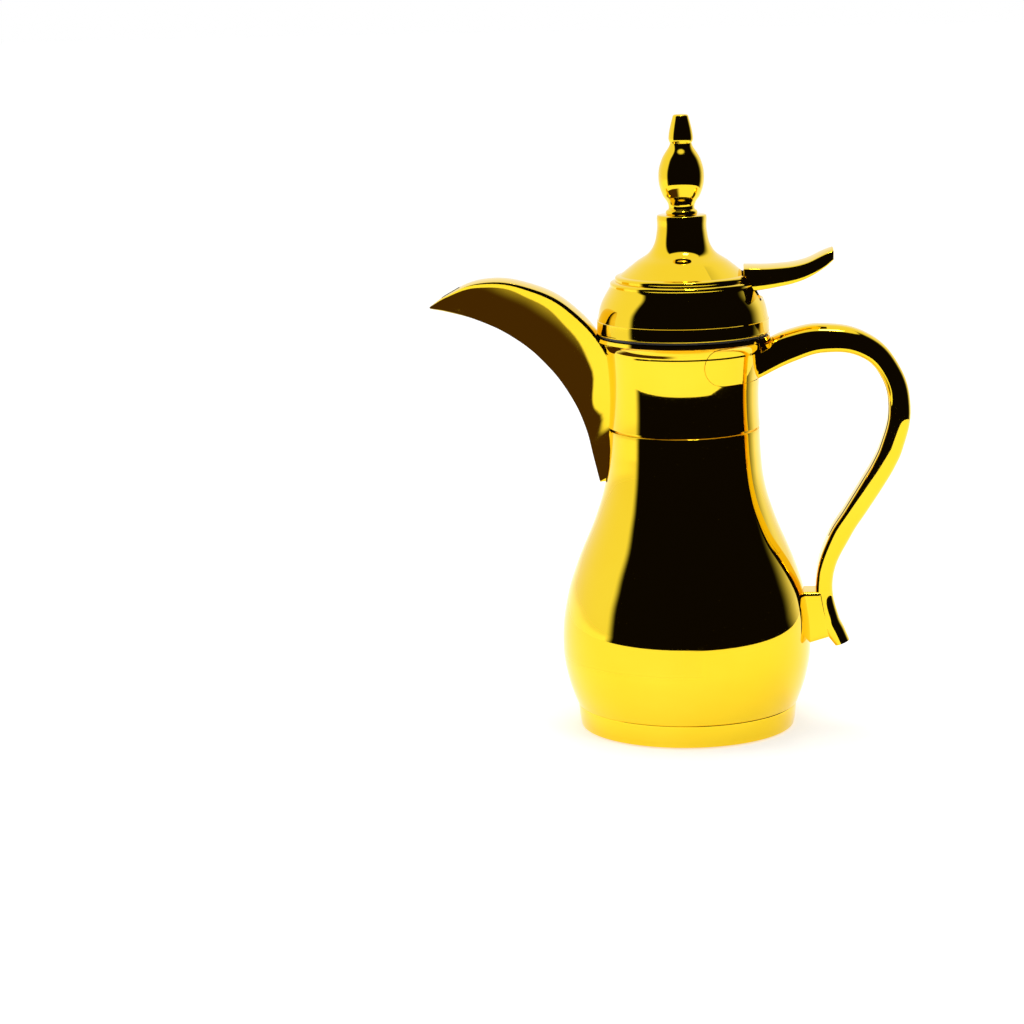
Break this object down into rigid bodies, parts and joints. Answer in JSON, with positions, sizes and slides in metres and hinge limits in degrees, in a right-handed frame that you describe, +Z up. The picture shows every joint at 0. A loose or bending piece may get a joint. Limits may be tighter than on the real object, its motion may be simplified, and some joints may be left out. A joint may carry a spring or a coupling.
{
  "type": "dallah coffee pot",
  "caption": "Gold-plated vacuum-flask coffee pot with a curved beak spout, a looped handle and a screw-in domed lid whose thumb lever lifts a pouring valve.",
  "frame": {"origin": "middle of the flat base, on the table", "axes": "+Z up along the pot's axis, +X towards the handle, -X towards the spout"},
  "size_m": [0.1918, 0.1006, 0.2476],
  "materials": {
    "gold": "mirror-polished gold plate",
    "black_rubber": "matte",
    "clear_rubber": "satin silicone",
    "silvered_glass": "silvered inside",
    "black_plastic": "satin",
    "steel": "plain"
  },
  "bodies": {
    "pot": {"base_pad": "black_rubber", "base_cap": "gold", "body_shell": "gold", "liner_cushion": "black_rubber", "glass_liner": "silvered_glass", "mouth_gasket": "clear_rubber", "neck_collar": "gold", "handle_plate": "gold", "inner_neck": "black_plastic", "spout": "gold", "handle": "gold", "handle_strip": "gold", "handle_bracket": "gold", "handle_screws": "steel"},
    "lid_seal": {"stopper_gasket": "clear_rubber"},
    "lid": {"stopper": "black_plastic", "lid_dome": "gold", "finial": "gold", "finial_screw": "steel", "lever_bracket": "steel", "lever_pin": "steel", "lever_screws": "steel", "valve_spring": "steel"},
    "lever": {"thumb_lever": "gold"},
    "valve": {"valve_rod": "steel", "valve_plug": "clear_rubber"}
  },
  "joints": [
    {"name": "lid_rise", "type": "slide", "parent": "pot", "child": "lid_seal", "axis": [0, 0, 1], "range_m": [0, 0.006]},
    {"name": "lid_turn", "type": "hinge", "parent": "lid_seal", "child": "lid", "pos_m": [0, 0, 0.16], "axis": [0, 0, 1], "range_deg": [0, 120]},
    {"name": "lever_press", "type": "hinge", "parent": "lid", "child": "lever", "pos_m": [0.0195, 0, 0.1795], "axis": [0, 1, 0], "range_deg": [0, 12], "stiffness_Nm_per_rad": 0.2, "springref_deg": -11.46},
    {"name": "valve_lift", "type": "slide", "parent": "lid", "child": "valve", "axis": [0, 0, 1], "range_m": [0, 0.00408], "deforming": ["valve_spring"]}
  ],
  "couplings": [
    {"joint": "lid_turn", "follows": "lid_rise", "rad_per_m": 349.07},
    {"joint": "lever_press", "follows": "valve_lift", "rad_per_m": 51.282}
  ]
}
